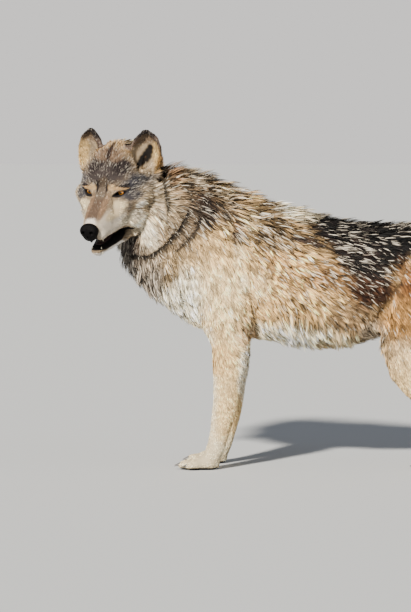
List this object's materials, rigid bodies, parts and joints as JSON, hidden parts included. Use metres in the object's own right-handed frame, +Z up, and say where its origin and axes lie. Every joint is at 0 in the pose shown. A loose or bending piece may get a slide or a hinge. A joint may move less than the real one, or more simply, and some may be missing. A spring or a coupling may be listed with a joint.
{
  "type": "timber wolf model",
  "caption": "Life-size still model of a timber wolf standing on all fours, its head turned to its left with the mouth a little open.",
  "frame": {"origin": "on the floor, below the middle of the model's box", "axes": "+Z up, the body faces -Y with its tail towards +Y, and its left side is towards +X"},
  "size_m": [0.3622, 1.1542, 0.908],
  "materials": {
    "coat": "dense buff and ochre guard hair with dark tips over the mane and back",
    "grey_coat": "grizzled grey hair with pale ticking",
    "pale_coat": "short cream hair",
    "ear_coat": "short tan hair, dark at the rims and pale inside",
    "eye": "glossy amber eye with a black pupil and a clear front",
    "nose": "black pebbled skin, slightly moist",
    "horn": "dark brown horn, paler at the tips",
    "tooth": "smooth ivory enamel",
    "tongue": "wet dark pink with fine bumps"
  },
  "bodies": {
    "root": {"ear_left": "ear_coat", "eye_left": "eye", "canine_upper_left": "tooth", "canine_lower_left": "tooth", "ear_right": "ear_coat", "eye_right": "eye", "canine_upper_right": "tooth", "canine_lower_right": "tooth", "head": "grey_coat", "lower_jaw": "pale_coat", "tongue": "tongue", "nose": "nose", "neck": "coat", "claw_front_left_1": "horn", "claw_front_left_2": "horn", "claw_front_left_3": "horn", "claw_front_left_4": "horn", "leg_front_left": "pale_coat", "paw_front_left": "pale_coat", "claw_front_right_1": "horn", "claw_front_right_2": "horn", "claw_front_right_3": "horn", "claw_front_right_4": "horn", "leg_front_right": "pale_coat", "paw_front_right": "pale_coat", "claw_hind_left_1": "horn", "claw_hind_left_2": "horn", "claw_hind_left_3": "horn", "claw_hind_left_4": "horn", "leg_hind_left": "pale_coat", "paw_hind_left": "pale_coat", "claw_hind_right_1": "horn", "claw_hind_right_2": "horn", "claw_hind_right_3": "horn", "claw_hind_right_4": "horn", "leg_hind_right": "pale_coat", "paw_hind_right": "pale_coat", "trunk": "coat", "tail": "grey_coat"}
  },
  "joints": []
}
